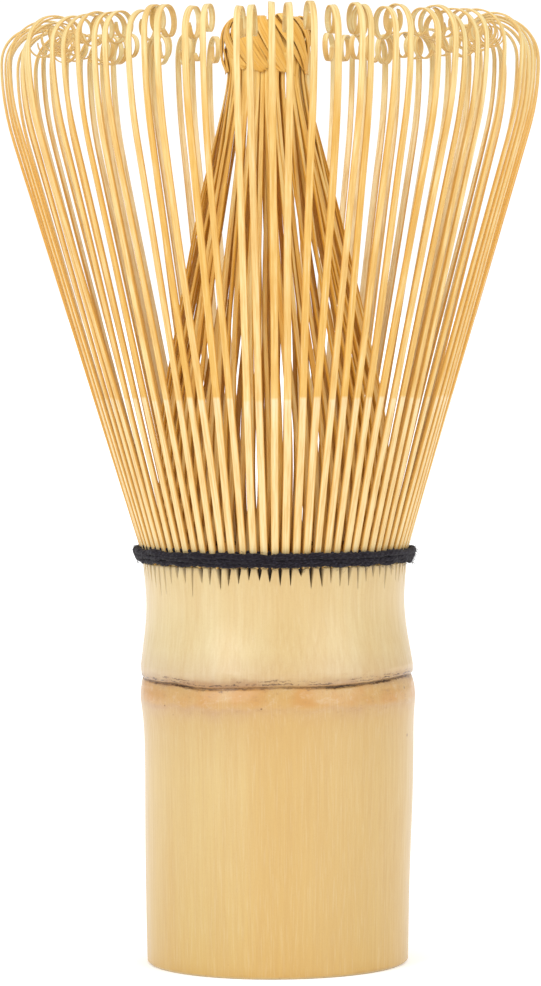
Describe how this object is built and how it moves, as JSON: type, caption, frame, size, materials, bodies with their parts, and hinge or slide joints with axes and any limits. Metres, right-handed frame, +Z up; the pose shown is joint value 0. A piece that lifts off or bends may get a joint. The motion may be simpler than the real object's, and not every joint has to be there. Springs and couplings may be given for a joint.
{
  "type": "bamboo tea whisk",
  "caption": "Bamboo tea whisk: hollow culm handle with a node, dark thread binding, curled outer tines and inner tines drawn into a central knot.",
  "frame": {"origin": "centre of the handle's cut foot, on the surface it stands on", "axes": "+Z up the culm's axis towards the tines, +X through the middle of the first section of outer tines"},
  "size_m": [0.0606, 0.0606, 0.1082],
  "materials": {
    "bamboo_skin": "satin, fine upright fibres",
    "outer_tine_bamboo": "satin split bamboo",
    "inner_tine_bamboo": "matt split bamboo",
    "thread": "matt twisted thread"
  },
  "bodies": {
    "culm": {"handle": "bamboo_skin", "binding_thread": "thread", "lacing_thread": "thread"},
    "inner_bunch": {"inner_tines_01": "inner_tine_bamboo", "inner_tines_02": "inner_tine_bamboo", "inner_tines_03": "inner_tine_bamboo", "inner_tines_04": "inner_tine_bamboo", "inner_tines_05": "inner_tine_bamboo", "inner_tines_06": "inner_tine_bamboo", "inner_tines_07": "inner_tine_bamboo", "inner_tines_08": "inner_tine_bamboo", "inner_tines_09": "inner_tine_bamboo", "inner_tines_10": "inner_tine_bamboo", "inner_tines_11": "inner_tine_bamboo", "inner_tines_12": "inner_tine_bamboo", "inner_tines_13": "inner_tine_bamboo", "inner_tines_14": "inner_tine_bamboo", "inner_tines_15": "inner_tine_bamboo", "inner_tines_16": "inner_tine_bamboo"},
    "outer_section_01": {"outer_tines_01": "outer_tine_bamboo"},
    "outer_section_02": {"outer_tines_02": "outer_tine_bamboo"},
    "outer_section_03": {"outer_tines_03": "outer_tine_bamboo"},
    "outer_section_04": {"outer_tines_04": "outer_tine_bamboo"},
    "outer_section_05": {"outer_tines_05": "outer_tine_bamboo"},
    "outer_section_06": {"outer_tines_06": "outer_tine_bamboo"},
    "outer_section_07": {"outer_tines_07": "outer_tine_bamboo"},
    "outer_section_08": {"outer_tines_08": "outer_tine_bamboo"},
    "outer_section_09": {"outer_tines_09": "outer_tine_bamboo"},
    "outer_section_10": {"outer_tines_10": "outer_tine_bamboo"},
    "outer_section_11": {"outer_tines_11": "outer_tine_bamboo"},
    "outer_section_12": {"outer_tines_12": "outer_tine_bamboo"},
    "outer_section_13": {"outer_tines_13": "outer_tine_bamboo"},
    "outer_section_14": {"outer_tines_14": "outer_tine_bamboo"},
    "outer_section_15": {"outer_tines_15": "outer_tine_bamboo"},
    "outer_section_16": {"outer_tines_16": "outer_tine_bamboo"}
  },
  "joints": [
    {"name": "inner_bunch_sway", "type": "hinge", "parent": "culm", "child": "inner_bunch", "pos_m": [0, 0, 0.0466], "axis": [0, 1, 0], "range_deg": [-2, 2], "stiffness_Nm_per_rad": 0.15},
    {"name": "outer_flex_01", "type": "hinge", "parent": "culm", "child": "outer_section_01", "pos_m": [0.0149, 0, 0.0466], "axis": [0, 1, 0], "range_deg": [-2, 5], "stiffness_Nm_per_rad": 0.018},
    {"name": "outer_flex_02", "type": "hinge", "parent": "culm", "child": "outer_section_02", "pos_m": [0.01377, 0.0057, 0.0466], "axis": [-0.3827, 0.9239, 0], "range_deg": [-2, 5], "stiffness_Nm_per_rad": 0.018},
    {"name": "outer_flex_03", "type": "hinge", "parent": "culm", "child": "outer_section_03", "pos_m": [0.01054, 0.01054, 0.0466], "axis": [-0.7071, 0.7071, 0], "range_deg": [-2, 5], "stiffness_Nm_per_rad": 0.018},
    {"name": "outer_flex_04", "type": "hinge", "parent": "culm", "child": "outer_section_04", "pos_m": [0.0057, 0.01377, 0.0466], "axis": [-0.9239, 0.3827, 0], "range_deg": [-2, 5], "stiffness_Nm_per_rad": 0.018},
    {"name": "outer_flex_05", "type": "hinge", "parent": "culm", "child": "outer_section_05", "pos_m": [0, 0.0149, 0.0466], "axis": [-1, 0, 0], "range_deg": [-2, 5], "stiffness_Nm_per_rad": 0.018},
    {"name": "outer_flex_06", "type": "hinge", "parent": "culm", "child": "outer_section_06", "pos_m": [-0.0057, 0.01377, 0.0466], "axis": [-0.9239, -0.3827, 0], "range_deg": [-2, 5], "stiffness_Nm_per_rad": 0.018},
    {"name": "outer_flex_07", "type": "hinge", "parent": "culm", "child": "outer_section_07", "pos_m": [-0.01054, 0.01054, 0.0466], "axis": [-0.7071, -0.7071, 0], "range_deg": [-2, 5], "stiffness_Nm_per_rad": 0.018},
    {"name": "outer_flex_08", "type": "hinge", "parent": "culm", "child": "outer_section_08", "pos_m": [-0.01377, 0.0057, 0.0466], "axis": [-0.3827, -0.9239, 0], "range_deg": [-2, 5], "stiffness_Nm_per_rad": 0.018},
    {"name": "outer_flex_09", "type": "hinge", "parent": "culm", "child": "outer_section_09", "pos_m": [-0.0149, 0, 0.0466], "axis": [0, -1, 0], "range_deg": [-2, 5], "stiffness_Nm_per_rad": 0.018},
    {"name": "outer_flex_10", "type": "hinge", "parent": "culm", "child": "outer_section_10", "pos_m": [-0.01377, -0.0057, 0.0466], "axis": [0.3827, -0.9239, 0], "range_deg": [-2, 5], "stiffness_Nm_per_rad": 0.018},
    {"name": "outer_flex_11", "type": "hinge", "parent": "culm", "child": "outer_section_11", "pos_m": [-0.01054, -0.01054, 0.0466], "axis": [0.7071, -0.7071, 0], "range_deg": [-2, 5], "stiffness_Nm_per_rad": 0.018},
    {"name": "outer_flex_12", "type": "hinge", "parent": "culm", "child": "outer_section_12", "pos_m": [-0.0057, -0.01377, 0.0466], "axis": [0.9239, -0.3827, 0], "range_deg": [-2, 5], "stiffness_Nm_per_rad": 0.018},
    {"name": "outer_flex_13", "type": "hinge", "parent": "culm", "child": "outer_section_13", "pos_m": [0, -0.0149, 0.0466], "axis": [1, 0, 0], "range_deg": [-2, 5], "stiffness_Nm_per_rad": 0.018},
    {"name": "outer_flex_14", "type": "hinge", "parent": "culm", "child": "outer_section_14", "pos_m": [0.0057, -0.01377, 0.0466], "axis": [0.9239, 0.3827, 0], "range_deg": [-2, 5], "stiffness_Nm_per_rad": 0.018},
    {"name": "outer_flex_15", "type": "hinge", "parent": "culm", "child": "outer_section_15", "pos_m": [0.01054, -0.01054, 0.0466], "axis": [0.7071, 0.7071, 0], "range_deg": [-2, 5], "stiffness_Nm_per_rad": 0.018},
    {"name": "outer_flex_16", "type": "hinge", "parent": "culm", "child": "outer_section_16", "pos_m": [0.01377, -0.0057, 0.0466], "axis": [0.3827, 0.9239, 0], "range_deg": [-2, 5], "stiffness_Nm_per_rad": 0.018}
  ]
}
